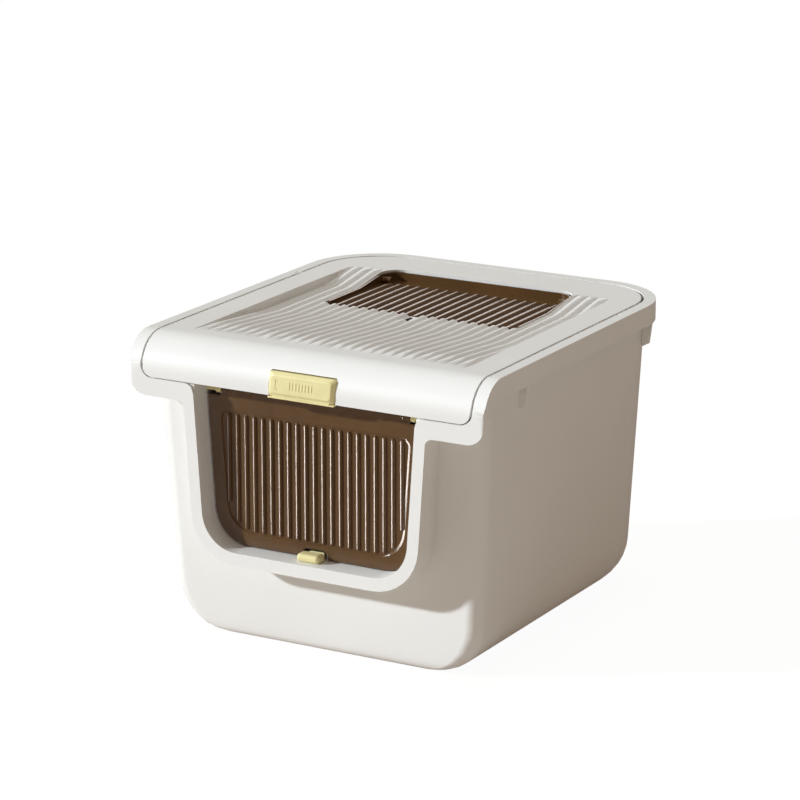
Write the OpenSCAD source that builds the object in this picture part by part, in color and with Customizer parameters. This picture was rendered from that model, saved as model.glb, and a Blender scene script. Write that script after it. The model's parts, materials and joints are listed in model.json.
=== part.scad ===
// Enclosed cat litter box, entered from above through a ribbed flap or from the front through a
// swinging door. A drafted basin carries a rim flange that sweeps down at the front and runs on as a
// U-shaped collar round the doorway. The lid drops into the rim, turns on two trunnions and is held
// shut by a sprung push button. Heights are measured from the floor, depths back from the front face.

/* [Overall size] */
// Width over the rim flange
rim_w = 450; // [440:1:460]
// Depth over the rim flange
rim_d = 493; // [485:1:500]
// Height of the rim and the lid above the floor
box_h = 351; // [346:1:356]

/* [Basin] */
// Thickness of the basin's wall
wall = 2; // [1.8:0.1:2.2]
// Width of the basin where it meets the floor, before its lower edges are rounded
base_w = 390; // [384:1:394]
// Radius of the basin's lower side edges
base_side_r = 60; // [50:1:70]
// Radius of the basin's lower front edge
base_front_r = 12; // [8:1:16]
// Radius of the basin's lower rear edge
base_rear_r = 40; // [30:1:50]

/* [Rim] */
// Thickness of the rim flange and the collar
rim_t = 2.4; // [2.2:0.1:2.6]
// Height of the skirt that hangs from the rim
skirt_h = 24; // [18:1:28]
// Radius of the rim's rear corners, seen from above
rim_rear_r = 92; // [86:1:96]
// Radius of the front of the rim and lid, seen from the side
brow_r = 40; // [36:1:44]
// Width of the gap round the lid
seam = 2.5; // [2:0.1:3]

/* [Doorway] */
// Half width of the doorway at its top
door_top_x = 139.5; // [136:0.5:141]
// Height of the doorway's sill
sill_z = 115.5; // [110:0.5:120]
// Radius of the doorway's lower corners
door_corner_r = 44; // [38:1:48]
// Width of the collar's front band
band_w = 14; // [12:0.5:15]
// Depth of the door's face behind the front
door_y = 26; // [25:0.5:27]

/* [Lid] */
// Half width of the sunken, ribbed part of the lid
dish_x = 174; // [168:1:176]
// Where the sunken part starts, behind the front
dish_y0 = 55; // [50:1:60]
// Where the sunken part ends, behind the front
dish_y1 = 412; // [408:1:416]
// Depth of the sunken part
dish_deep = 11; // [10:0.5:12]
// Distance from one rib to the next
rib_pitch = 13.1; // [12.5:0.1:13.5]
// Height of the lid's ribs
rib_h = 3.4; // [2.5:0.1:4]

/* [Flap] */
// Half width of the opening in the lid
hatch_x = 127; // [124:0.5:129]
// Front edge of the opening in the lid
hatch_y0 = 262; // [255:1:268]
// Rear edge of the opening in the lid
hatch_y1 = 420.5; // [419:0.5:422]

/* [Button] */
// Width of the push button
button_w = 84; // [80:1:86]
// How far the button's foot stands out in front of the rim
button_proud = 5; // [4:0.5:6]

/* [Hidden] */
$fn = 48;

// Colours
shell_white = "#EDEAE4";
smoke_brown = "#5C4736";
soft_yellow = "#F0DC8C";
steel_grey = "#9DA0A3";

// The origin lies on the floor under the middle of the whole box, button and all
front_y = -(rim_d - button_proud) / 2;

// Running clearance round a pin, free clearance between bodies, and a little over-reach for cuts
run = 0.06;
free = 0.4;
over = 1;

// Rim and lid seen from above: every rear corner turns about one centre
rim_x = rim_w / 2;
corner_x = rim_x - rim_rear_r;
corner_y = rim_d - rim_rear_r;
tub_top_r = rim_rear_r - 11.6;
mouth_r = tub_top_r - 3.1;
lid_r = mouth_r - seam;
mouth_x = corner_x + mouth_r;
lid_x = corner_x + lid_r;

// Basin: front wall at the floor and how far it, the rear wall and the rear corners draw in
basin_front_base = 45;
basin_front_lean = 17.5;
basin_rear_lean = 12;
basin_corner_drop = 8;
basin_front_r = 18;

// Front: edges of the frame, of the mouth that the lid fills, and of the lid's lip
frame_low_z = 283;
frame_corner_r = 22;
lip_low_z = box_h - 46;
mouth_low_z = lip_low_z - 1.3;
lip_corner_r = 13;
rim_edge_r = 4;
sweep_y = 34;
sweep_r = 60;
return_depth = 44;
return_x = 205;
window_x = 192;

// Collar round the doorway
door_top_z = 278;
side_lean = 0.067;
band_low_z = sill_z - band_w - 1.2;
band_neck_r = 9;
doorway_flare_r = 10;
collar_depth = 36;

// Webs under the skirt
gusset_ys = [108, 419];
gusset_t = 3;
gusset_low_z = 298;

// Lid hinge: trunnions that lie in open slots of the rim
pivot_y = 347;
pivot_z = box_h - 9;
pivot_r = 4;
pivot_end_x = mouth_x + 4.6;
lid_t = 2.4;
lid_skirt = 12;

// Shelf and header behind the lid's lip
shelf_y0 = 3.6;
shelf_z = lip_low_z + 0.9;
shelf_t = 2.6;
header_x = mouth_x + rim_t / 2;
mouth_wall_y = 48;
header_y = 31.5;
header_top = box_h - 9;
header_wall_x = lid_x - lid_t - 1.2;
mouth_split_y = 60;
button_bay_y = 13;
latch_slot_y0 = 16.7;
latch_slot_y1 = 27.2;
latch_half = 9;

// Sunken panel of the lid: a long ramp, a level floor and a short ramp
dish_front_lean = 4.3;
dish_rear_lean = 8.9;
dish_corner_r = 45;
rib_steps = 6;

// Door
hinge_y = door_y + 4;
hinge_z = 294;
hinge_r = 2.5;
door_high_z = 300.5;
door_t = 2.4;
door_gap = 1.3;
ear_x = 120.5;
ear_r = 4.6;
ear_len = 10;
shoulder_r = 4.2;
shoulder_len = 6;
shoulder_gap = 0.6;
notch_drop = 6;
hinge_boss_r = 3.6;
panel_top_x = 120.5;
panel_top_z = 270.5;
panel_low_x = 111;
panel_low_z = 132.5;
panel_low_r = 34;
panel_deep = 1.2;
panel_t = 1.8;
panel_step = 2;
flute_pitch = 11.05;
flute_count = 21;
flute_r = 2.65;
flute_sunk = 0.25;
flute_end_gap = 1.5;

// Sill lock
lock_x = 14;
lock_y0 = 8.5;
lock_y1 = 34;
lock_top_z = sill_z + 9.5;
lock_slot_y0 = door_y - 1.1;
lock_slot_y1 = door_y + door_t + 1.1;
lock_slot_z = sill_z + 3;
lock_round = 4.4;
lock_stem_x = 10;
lock_stem_y0 = 16;
lock_stem_y1 = 32;
notch_side = 2.2;
notch_top = 2.4;
notch_r = 2;

// Push button and latch
button_low_z = lip_low_z + 0.2;
button_high = 27.6;
button_tilt = 7.5;
button_bevel = 3.8;
plate_y = 10.5;
plate_t = 2;
cover_y = 24.5;
cover_x = 60;
cover_screw_x = 52;
boss_r = 4;
screw_r = 1.2;
spring_x = 30;
spring_z = 322;
spring_r = 3.6;
wire_r = 0.45;
spring_turns = 5;
spring_play = 0.05;
peg_r = 2.3;

// Flap
flap_hinge_y = 395.5;
flap_hinge_z = box_h - 8.8;
flap_pin_r = 2;
flap_boss_r = 4.1;
flap_boss_x = 112;
flap_gap = 1.3;
flap_face_z = box_h - 12.4;
flap_plate_t = 2.2;
flap_rear_y = 417;
flap_wall = 2;
flap_rib_r = 6.2;
flap_rib_sunk = 3.6;
flap_rib_end = 390;
hatch_r = 25;
notch_len = 26;
ledge_gap = 0.4;
ledge_t = 2;
ledge_w = 5;
ledge_low = flap_face_z - flap_plate_t - ledge_gap - ledge_t;

// ---------------------------------------------------------------- outlines

function unit(v) = v / norm(v);

// Points of one rounded corner at p, between its neighbours a and b
function corner_arc(a, p, b, r, n) =
    let(u = unit(a - p), v = unit(b - p), half = acos(u * v) / 2)
    let(c = p + unit(u + v) * r / sin(half))
    let(s = p + u * r / tan(half) - c, e = p + v * r / tan(half) - c)
    let(a0 = atan2(s[1], s[0]), turn = atan2(s[0] * e[1] - s[1] * e[0], s * e))
    [for (i = [0 : n]) c + r * [cos(a0 + turn * i / n), sin(a0 + turn * i / n)]];

// Outline whose corners are rounded: each entry is [x, y, radius]
function rounded(pts, n = 8) = let(m = len(pts))
    [for (i = [0 : m - 1])
        let(a = pts[(i + m - 1) % m], p = pts[i], b = pts[(i + 1) % m])
        for (q = p[2] == 0 ? [[p[0], p[1]]]
            : corner_arc([a[0], a[1]], [p[0], p[1]], [b[0], b[1]], p[2], n)) q];

// A path and its mirror image across x = 0, as one closed outline
function mirrored(half) =
    concat(half, [for (i = [len(half) - 1 : -1 : 0]) [-half[i][0], half[i][1], half[i][2]]]);

// Round-cornered plan outline: half width, front, rear, front radius, rear radius
function plan_ring(hw, yf, yr, rf, rr, nf = 6, nr = 12) = concat(
    corner_arc([0, yf], [hw, yf], [hw, yr], rf, nf),
    corner_arc([hw, yf], [hw, yr], [0, yr], rr, nr),
    corner_arc([0, yr], [-hw, yr], [-hw, yf], rr, nr),
    corner_arc([-hw, yr], [-hw, yf], [0, yf], rf, nf));

// ---------------------------------------------------------------- solids

// Puts what is drawn with its front at y = 0 into the part's own frame
module place() {
    translate([0, front_y, 0]) children();
}

// Outline in x and z, pushed back from y0 to y1
module front_prism(y0, y1) {
    translate([0, y1, 0]) rotate([90, 0, 0]) linear_extrude(y1 - y0) children();
}

// Outline in y and z, spread from x0 to x1
module side_prism(x0, x1) {
    translate([x0, 0, 0]) rotate([90, 0, 90]) linear_extrude(x1 - x0) children();
}

// Outline in x and y, raised from z0 to z1
module plan_prism(z0, z1) {
    translate([0, 0, z0]) linear_extrude(z1 - z0) children();
}

// Cylinder along x from x0 to x1
module x_rod(r, x0, x1, y, z) {
    translate([x0, y, z]) rotate([0, 90, 0]) cylinder(r = r, h = x1 - x0);
}

// Cylinder along y from y0 to y1
module y_rod(r, y0, y1, x, z) {
    translate([x, y0, z]) rotate([-90, 0, 0]) cylinder(r = r, h = y1 - y0);
}

// Box between two corners
module block(a, b) {
    translate(a) cube(b - a);
}

// Skin over a stack of rings that all have the same number of points
module loft(rings) {
    n = len(rings[0]);
    m = len(rings);
    sides = [for (i = [0 : m - 2], j = [0 : n - 1]) let(k = (j + 1) % n)
        each [[i * n + j, (i + 1) * n + j, (i + 1) * n + k], [i * n + j, (i + 1) * n + k, i * n + k]]];
    polyhedron([for (r = rings) each r],
        concat(sides, [[for (j = [0 : n - 1]) j]], [[for (j = [n - 1 : -1 : 0]) (m - 1) * n + j]]));
}

module both_sides() {
    children();
    mirror([1, 0, 0]) children();
}

// ---------------------------------------------------------------- basin

// How far a quarter-round lower edge draws the wall in at height z, for a wall inset by t
function edge_inset(r, t, z) = z >= r ? 0 : (r - t) - sqrt(max(0, pow(r - t, 2) - pow(r - z, 2)));

// One level of the basin, t inside its outer skin
function basin_ring(z, t) =
    let(k = z / box_h, lift = 1 - k)
    let(side = edge_inset(base_side_r, t, z), rear = edge_inset(base_rear_r, t, z))
    let(hw = base_w / 2 + (corner_x + tub_top_r - base_w / 2) * k - t - side)
    let(yf = basin_front_base - basin_front_lean * k + t + edge_inset(base_front_r, t, z))
    let(yr = corner_y + tub_top_r - basin_rear_lean * lift - t - rear)
    let(rr = tub_top_r - basin_corner_drop * lift - t - rear / 2)
    [for (p = plan_ring(hw, yf, yr, basin_front_r - t, rr)) [p[0], p[1], z]];

// Basin skin, inset by t, from its floor up to height top
module basin(t, top) {
    low = [for (a = [0 : 10 : 90]) base_side_r - (base_side_r - t) * cos(a)];
    loft([for (z = concat(low, [top])) basin_ring(z, t)]);
}

// Front of the moulding, inset by t: the frame under the lid's lip and the U-shaped band below it
module front_face(t) {
    arm = door_top_x + band_w - t;
    frame = frame_low_z + t;
    low = band_low_z + t;
    polygon(rounded(mirrored([
        [rim_x - t, box_h + over, 0],
        [rim_x - t, frame, frame_corner_r - t],
        [arm - side_lean * (door_top_z - frame), frame, band_neck_r + t],
        [arm - side_lean * (door_top_z - low), low, door_corner_r + band_w - t]])));
}

// The doorway seen from the front, inset by t and open up to height top
module doorway(t, top) {
    low = sill_z + t;
    polygon(rounded(mirrored([
        [door_top_x - t + side_lean * (top - door_top_z), top, 0],
        [door_top_x - t - side_lean * (door_top_z - low), low, door_corner_r - t]]), 12));
}

// Outline of the lid's lip, or of the mouth that takes it, seen from the front
module lip_face(half, low, r) {
    polygon(rounded(mirrored([[half, box_h + 2 * over, 0], [half, low, r]])));
}

// Side view of the rim, with the sweep of the skirt's lower edge
module rim_side() {
    polygon(rounded([
        [0, mouth_low_z, 0],
        [0, box_h, brow_r],
        [rim_d + over, box_h, 0],
        [rim_d + over, box_h - skirt_h, 0],
        [sweep_y, box_h - skirt_h, sweep_r]], 12));
}

// Everything behind the brow's curve, inset by t, seen from the side
module behind_brow(t) {
    polygon(rounded([
        [t, -over, 0],
        [t, box_h - t, brow_r - t],
        [rim_d + 2 * over, box_h - t, 0],
        [rim_d + 2 * over, -over, 0]], 12));
}

// Rim seen from above, inset by t
module rim_plan(t) {
    polygon(plan_ring(rim_x - t, t, rim_d - t, max(rim_edge_r - t, 1), rim_rear_r - t));
}

// Flange, skirt, front frame and the outer walls of the U-shaped band
module rim_shell() {
    difference() {
        intersection() {
            plan_prism(0, box_h) rim_plan(0);
            side_prism(-rim_x, rim_x) rim_side();
        }
        intersection() {
            plan_prism(-over, box_h + over) rim_plan(rim_t);
            side_prism(-rim_x, rim_x) behind_brow(rim_t);
        }
    }
    intersection() {
        plan_prism(0, box_h) rim_plan(0);
        side_prism(-rim_x, rim_x) behind_brow(0);
        union() {
            front_prism(0, rim_t) front_face(0);
            difference() {
                intersection() {
                    front_prism(0, return_depth) front_face(0);
                    block([-return_x, 0, 0], [return_x, return_depth, shelf_z + shelf_t]);
                }
                intersection() {
                    front_prism(-over, return_depth + over) front_face(rim_t);
                    block([rim_t - return_x, -over, 0], [return_x - rim_t, return_depth + over, box_h]);
                }
            }
        }
    }
}

// Triangular web between the basin's wall and the skirt
module gusset(y) {
    front_prism(y - gusset_t / 2, y + gusset_t / 2) polygon([
        [mouth_x + 2 * wall - 1, box_h - rim_t],
        [rim_x - rim_t / 2, box_h - rim_t],
        [rim_x - rim_t / 2, box_h - skirt_h + 4],
        [rim_x - rim_t - 1, box_h - skirt_h - 3],
        [rim_x - rim_t - 4, gusset_low_z + 4],
        [mouth_x + 1, gusset_low_z],
        [mouth_x - 1.2, gusset_low_z]]);
}

// What the lid drops into: deep behind the frame, shallow above the shelf, and round in plan behind
module mouth() {
    front_prism(-over, shelf_y0) lip_face(mouth_x, mouth_low_z, lip_corner_r + 2);
    front_prism(shelf_y0, mouth_split_y) lip_face(mouth_x, shelf_z + shelf_t, lip_corner_r);
    plan_prism(box_h - lid_skirt - 4, box_h + over)
        polygon(plan_ring(mouth_x, 10, corner_y + mouth_r, 2, mouth_r));
}

// Shelf and header behind the lid's lip, from which the door hangs
module header() {
    difference() {
        union() {
            block([-header_x, shelf_y0, shelf_z], [header_x, header_y + rim_t, shelf_z + shelf_t]);
            block([-header_wall_x, header_y, shelf_z], [header_wall_x, header_y + rim_t, header_top]);
            both_sides() {
                block([door_top_x + 1, rim_t / 2, mouth_low_z - 6],
                    [header_x, shelf_y0 + rim_t, mouth_low_z]);
                block([door_top_x + 1, shelf_y0, mouth_low_z - 6],
                    [header_x, shelf_y0 + rim_t, shelf_z + shelf_t]);
                intersection() {
                    block([mouth_x, rim_t / 2, mouth_low_z - 1], [mouth_x + rim_t, mouth_wall_y, box_h]);
                    side_prism(mouth_x, mouth_x + rim_t) behind_brow(rim_t / 2);
                }
            }
        }
        block([-button_w / 2 - 5, -over, 0], [button_w / 2 + 5, button_bay_y, box_h]);
        block([-latch_half - 1.5, latch_slot_y0, 0],
            [latch_half + 1.5, latch_slot_y1, shelf_z + shelf_t + over]);
    }
}

// Walls that line the doorway, from the front face back past the door
module door_collar() {
    difference() {
        front_prism(0, collar_depth) doorway(-rim_t, shelf_z + shelf_t / 2);
        front_prism(-over, collar_depth + over) doorway(0, box_h);
    }
}

// Open slot in the rim for one trunnion of the lid
module trunnion_slot() {
    x_rod(pivot_r + run, mouth_x - 3, pivot_end_x + free, pivot_y, pivot_z);
    block([mouth_x - 3, pivot_y - pivot_r - run, pivot_z],
        [pivot_end_x + free, pivot_y + pivot_r + run, box_h + over]);
}

module tub() {
    color(shell_white) place() difference() {
        union() {
            difference() {
                union() {
                    basin(0, box_h);
                    rim_shell();
                    both_sides() for (y = gusset_ys) gusset(y);
                }
                basin(wall, box_h + over);
                mouth();
                intersection() {
                    front_prism(rim_t, basin_front_base + 15) front_face(rim_t);
                    block([-window_x, rim_t, 0], [window_x, basin_front_base + 15, shelf_z]);
                }
            }
            header();
            difference() {
                door_collar();
                mouth();
            }
            both_sides() trunnion_seat();
            both_sides() hinge_boss();
        }
        front_prism(-over, basin_front_base + 15) doorway(0, shelf_z);
        both_sides() doorway_flare();
        both_sides() trunnion_slot();
        both_sides() x_rod(hinge_r, ear_x, door_top_x + 6, hinge_y, hinge_z);
        block([-lock_stem_x - free, lock_stem_y0 - free, sill_z - rim_t - over],
            [lock_stem_x + free, lock_stem_y1 + free, sill_z + over]);
    }
}

// Boss on the collar's wall that holds the outer end of the door's pin
module hinge_boss() {
    x_rod(hinge_boss_r, ear_x + shoulder_len + 2 * shoulder_gap, door_top_x + rim_t, hinge_y, hinge_z);
}

// Round lead-out where the doorway's side meets the mouth
module doorway_flare() {
    x = door_top_x + side_lean * (mouth_low_z - door_top_z);
    r = doorway_flare_r;
    front_prism(-over, shelf_y0) difference() {
        translate([x - over, mouth_low_z - r]) square([r + over, r + over]);
        translate([x + r, mouth_low_z - r]) circle(r);
    }
}

// Thickened wall behind the rim's edge, in which the trunnion's slot is cut
module trunnion_seat() {
    block([mouth_x, pivot_y - 9, pivot_z - 9], [mouth_x + 7, pivot_y + 9, box_h - rim_t / 2]);
}

// Cap that drops into a trunnion's slot and keeps the lid from lifting out
module pivot_clip() {
    color(shell_white) place() difference() {
        block([mouth_x + 0.7, pivot_y - pivot_r - run, pivot_z],
            [pivot_end_x, pivot_y + pivot_r + run, box_h - 0.4]);
        x_rod(pivot_r + 0.3, mouth_x - over, pivot_end_x + over, pivot_y, pivot_z);
    }
}

module pivot_clip_left() {
    mirror([1, 0, 0]) pivot_clip();
}

module pivot_clip_right() {
    pivot_clip();
}

// ---------------------------------------------------------------- lid

// Height of a rib above the valley beside it, at x: round crests that meet in sharp valleys
function rib_wave(x, pitch, high) = high * abs(sin(180 * x / pitch));

// Section across the ribs, from the ribbed skin up; the last valley runs on flat to the wall
module above_ribs() {
    last = floor(dish_x / rib_pitch) * rib_pitch;
    step = rib_pitch / rib_steps;
    polygon(concat(
        [[-dish_x - 10, 60], [-dish_x - 10, 0]],
        [for (x = [-last : step : last + step / 2]) [x, rib_wave(x, rib_pitch, rib_h)]],
        [[dish_x + 10, 0], [dish_x + 10, 60]]));
}

// Sunken panel seen from above, grown by t
module dish_plan(t) {
    polygon(plan_ring(dish_x + t, dish_y0 - 20, dish_y1 + 22 + t, 10, dish_corner_r + t));
}

// Space over the ribs that is cut out of the lid
module dish_space() {
    intersection() {
        plan_prism(box_h - 40, box_h + over) dish_plan(0);
        translate([0, dish_y0, box_h]) rotate([-dish_front_lean, 0, 0])
            front_prism(-80, rim_d) above_ribs();
        translate([0, 0, box_h - dish_deep]) front_prism(-80, rim_d) above_ribs();
        translate([0, dish_y1, box_h]) rotate([dish_rear_lean, 0, 0])
            front_prism(-rim_d, 80) above_ribs();
    }
}

// Block from which the sunken panel is cut: its underside follows the ribs at the lid's thickness
module dish_block() {
    intersection() {
        plan_prism(box_h - 40, box_h) dish_plan(lid_t);
        translate([0, dish_y0, box_h - lid_t]) rotate([-dish_front_lean, 0, 0])
            front_prism(-80, rim_d) above_ribs();
        translate([0, 0, box_h - dish_deep - lid_t]) front_prism(-80, rim_d) above_ribs();
        translate([0, dish_y1, box_h - lid_t]) rotate([dish_rear_lean, 0, 0])
            front_prism(-rim_d, 80) above_ribs();
    }
}

module lid_plan(t) {
    polygon(plan_ring(lid_x - t, t, corner_y + lid_r - t, 2, lid_r - t));
}

// Side view of the lid: brow, flat top, and the sweep of its hidden skirt
module lid_side() {
    polygon(rounded([
        [0, lip_low_z, 0],
        [0, box_h, brow_r],
        [rim_d, box_h, 0],
        [rim_d, box_h - lid_skirt, 0],
        [50, box_h - lid_skirt, 25],
        [lid_t, shelf_z + shelf_t + 2, 0],
        [lid_t, lip_low_z, 0]], 12));
}

module lid_skin() {
    difference() {
        intersection() {
            plan_prism(0, box_h) lid_plan(0);
            side_prism(-lid_x, lid_x) lid_side();
            front_prism(-over, rim_d) lip_face(lid_x, lip_low_z, lip_corner_r);
        }
        intersection() {
            plan_prism(-over, box_h + over) lid_plan(lid_t);
            side_prism(-lid_x, lid_x) behind_brow(lid_t);
        }
    }
}

// Opening for the flap seen from above, grown by t
module hatch_plan(t) {
    polygon(plan_ring(hatch_x + t, hatch_y0 - t, hatch_y1 + t, 3, hatch_r + t));
}

// Wall round the opening, with the ledge on which the flap rests at its front and sides
module hatch_wall() {
    difference() {
        plan_prism(ledge_low, box_h - lid_t / 2) hatch_plan(lid_t);
        plan_prism(ledge_low - over, box_h) translate([-hatch_x + ledge_w, hatch_y0 + ledge_w])
            square([2 * (hatch_x - ledge_w), hatch_y1 - hatch_y0 - ledge_w]);
        plan_prism(ledge_low - over, ledge_low + ledge_t) translate([-hatch_x, flap_hinge_y - 16])
            square([2 * hatch_x, hatch_y1 - flap_hinge_y + 16]);
    }
}

// Small lugs that carry the flap's hinge pins
module flap_lugs() {
    both_sides() intersection() {
        block([hatch_x - over, flap_hinge_y - 6, flap_hinge_z - 6], [hatch_x + 9, flap_hinge_y + 6, box_h]);
        plan_prism(0, box_h) difference() {
            square([2 * rim_x, 2 * rim_d], center = true);
            hatch_plan(0);
        }
    }
}

// Bosses that take the latch cover's screws
module cover_bosses() {
    intersection() {
        both_sides() y_rod(boss_r, lid_t / 2, cover_y, cover_screw_x, spring_z);
        side_prism(-lid_x, lid_x) behind_brow(lid_t / 2);
    }
}

// Hole in the lid's front that the button passes through
module button_opening() {
    high = button_low_z + button_high + free;
    front_prism(-10, plate_y) polygon(rounded(mirrored([
        [button_w / 2 + free, high, 3],
        [button_w / 2 + free, lip_low_z - 5, 0]])));
}

module lid() {
    color(shell_white) place() difference() {
        union() {
            lid_skin();
            dish_block();
            hatch_wall();
            flap_lugs();
            cover_bosses();
            both_sides() x_rod(pivot_r, lid_x - 6, pivot_end_x, pivot_y, pivot_z);
            both_sides() block([lid_x - 6, pivot_y - 7, pivot_z - 6], [lid_x - 0.6, pivot_y + 7, box_h - 1]);
        }
        dish_space();
        plan_prism(ledge_low + ledge_t, box_h + over) hatch_plan(0);
        button_opening();
        both_sides() x_rod(flap_pin_r, hatch_x - 1, hatch_x + 6, flap_hinge_y, flap_hinge_z);
        both_sides() y_rod(screw_r, cover_y - 8, cover_y + over, cover_screw_x, spring_z);
        finger_notch();
    }
}

// Recess at the middle of the opening's front edge, one rib wide, to lift the flap by
module finger_notch() {
    plan_prism(box_h - dish_deep, box_h) polygon(rounded([
        [-rib_pitch, hatch_y0 + 2, 0],
        [-rib_pitch, hatch_y0 - notch_len, 5],
        [0, hatch_y0 - notch_len, 5],
        [0, hatch_y0 + 2, 0]]));
    plan_prism(box_h - 30, box_h) translate([-rib_pitch + 2, hatch_y0 - notch_len + 2])
        square([rib_pitch - 4, 6]);
}

// ---------------------------------------------------------------- button and latch

// Body of the button, square to its own face: bevelled edges all round and rounded corners
module button_block(back) {
    w = button_w / 2;
    h = button_high;
    c = button_bevel;
    intersection() {
        front_prism(-c, back) polygon(rounded(mirrored([[w, h, 3], [w, 0, 3]]), 5));
        side_prism(-w, w) polygon([[back, 0], [0, 0], [-c, c], [-c, h - c], [0, h], [back, h]]);
        plan_prism(0, h) polygon([[-w, back], [-w, 0], [c - w, -c], [w - c, -c], [w, 0], [w, back]]);
    }
}

module push_button() {
    color(soft_yellow) place() {
        translate([0, button_bevel - button_proud, button_low_z]) rotate([-button_tilt, 0, 0])
            button_block(5);
        // Foot below the lid's lip
        block([-button_w / 2 - 1, -3, lip_low_z - 2.1], [button_w / 2 + 1, 3, lip_low_z - 0.4]);
        block([-button_w / 2 + 6, -3, lip_low_z - 1], [button_w / 2 - 6, 3, button_low_z + 3]);
        // Stem and the plate that keeps the button behind the lid's front
        block([-button_w / 2 + 4, 1, 310], [button_w / 2 - 4, plate_y + 0.5, 330]);
        block([-button_w / 2 - 4, plate_y, shelf_z + shelf_t + 0.8],
            [button_w / 2 + 4, plate_y + plate_t, button_low_z + button_high]);
        // Hook that reaches down through the shelf's window, its barb towards the front
        block([-latch_half, plate_y + 1, 310], [latch_half, 22.5, 312.6]);
        block([-latch_half, 20, shelf_z - 3.5], [latch_half, 22.5, 312.6]);
        block([-latch_half, latch_slot_y0 + 1.2, shelf_z - 3.5], [latch_half, 21, shelf_z - 1]);
        // Pegs that centre the springs
        both_sides() y_rod(peg_r, plate_y + 1, plate_y + plate_t + 3, spring_x, spring_z);
    }
}

// Plate screwed to the lid's bosses; the springs push against it
module latch_cover() {
    color(shell_white) place() difference() {
        union() {
            front_prism(cover_y, cover_y + 2) polygon(rounded(mirrored([
                [cover_x, spring_z + 14, 5], [cover_x, spring_z - 9, 5]])));
            both_sides() y_rod(peg_r, cover_y - 3, cover_y + 1, spring_x, spring_z);
        }
        both_sides() y_rod(screw_r + 0.1, cover_y - over, cover_y + 3, cover_screw_x, spring_z);
    }
}

module latch_cover_screws() {
    color(steel_grey) place() both_sides() {
        y_rod(screw_r, cover_y - 7, cover_y + 2.5, cover_screw_x, spring_z);
        y_rod(2 * screw_r, cover_y + 2, cover_y + 3.4, cover_screw_x, spring_z);
    }
}

// Coil of round wire along y, from y0 to y1
module coil(y0, y1) {
    steps = 12 * spring_turns;
    sides = 6;
    len = y1 - y0 - 2 * wire_r;
    ring = [for (i = [0 : steps]) let(a = 360 * spring_turns * i / steps)
        [for (j = [0 : sides - 1]) let(b = 360 * j / sides, q = spring_r - wire_r + wire_r * cos(b))
            [q * cos(a), y0 + wire_r + len * i / steps + wire_r * sin(b), q * sin(a)]]];
    loft(ring);
}

module latch_spring() {
    color(steel_grey) place() translate([spring_x, 0, spring_z])
        coil(plate_y + plate_t + spring_play, cover_y - spring_play);
}

module latch_spring_left() {
    mirror([1, 0, 0]) latch_spring();
}

module latch_spring_right() {
    latch_spring();
}

// ---------------------------------------------------------------- front door

// Sunken panel of the door seen from the front, inset by t
module door_panel(t) {
    polygon(rounded(mirrored([
        [panel_top_x - t, panel_top_z - t, 9 - t],
        [panel_low_x - t, panel_low_z + t, panel_low_r - t]])));
}

// Height of the panel's lower edge at x: round its corner, then up its leaning side
function panel_edge(x) =
    let(k = max(0, abs(x) - panel_low_x + panel_low_r), spare = abs(x) + flute_r - panel_low_x)
    max(panel_low_z + panel_low_r - sqrt(pow(panel_low_r, 2) - pow(k, 2)),
        panel_low_z + spare * (panel_top_z - panel_low_z) / (panel_top_x - panel_low_x));

// One upright half-round ridge with round ends, on the sunken panel's outer face
module flute(x, $fn = 24) {
    low = panel_edge(x) + flute_end_gap + flute_r;
    high = panel_top_z - flute_end_gap - flute_r;
    translate([x, door_y + panel_deep + flute_sunk, 0]) {
        translate([0, 0, low]) cylinder(r = flute_r, h = high - low);
        translate([0, 0, low]) sphere(flute_r);
        translate([0, 0, high]) sphere(flute_r);
    }
}

module front_door() {
    color(smoke_brown, 0.75) place() difference() {
        union() {
            front_prism(door_y, door_y + door_t) difference() {
                doorway(door_gap, door_high_z);
                door_panel(0);
            }
            front_prism(door_y + panel_deep, door_y + panel_deep + panel_t) door_panel(-panel_step);
            intersection() {
                for (k = [1 : flute_count]) flute((k - (flute_count + 1) / 2) * flute_pitch);
                front_prism(0, door_y + panel_deep + panel_t / 2) door_panel(0);
            }
            both_sides() x_rod(ear_r, ear_x - ear_len, ear_x, hinge_y, hinge_z);
        }
        both_sides() block([ear_x, 0, hinge_z - notch_drop], [door_top_x + 9, hinge_y + 9, box_h]);
        both_sides() x_rod(hinge_r + run, ear_x - ear_len + 2, ear_x + over, hinge_y, hinge_z);
        front_prism(0, hinge_y + 9) polygon(rounded(mirrored([
            [lock_x + notch_side, lock_top_z + notch_top, notch_r], [lock_x + notch_side, sill_z - 9, 0]])));
    }
}

// Hinge pin: an end in the collar's wall, a shoulder in the door's notch, an end in the door's ear
module door_pin() {
    color(soft_yellow) place() {
        x_rod(hinge_r, ear_x - ear_len + 3, door_top_x + 3.6, hinge_y, hinge_z);
        x_rod(shoulder_r, ear_x + shoulder_gap, ear_x + shoulder_gap + shoulder_len, hinge_y, hinge_z);
    }
}

module door_pin_left() {
    mirror([1, 0, 0]) door_pin();
}

module door_pin_right() {
    door_pin();
}

// ---------------------------------------------------------------- sill lock

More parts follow.
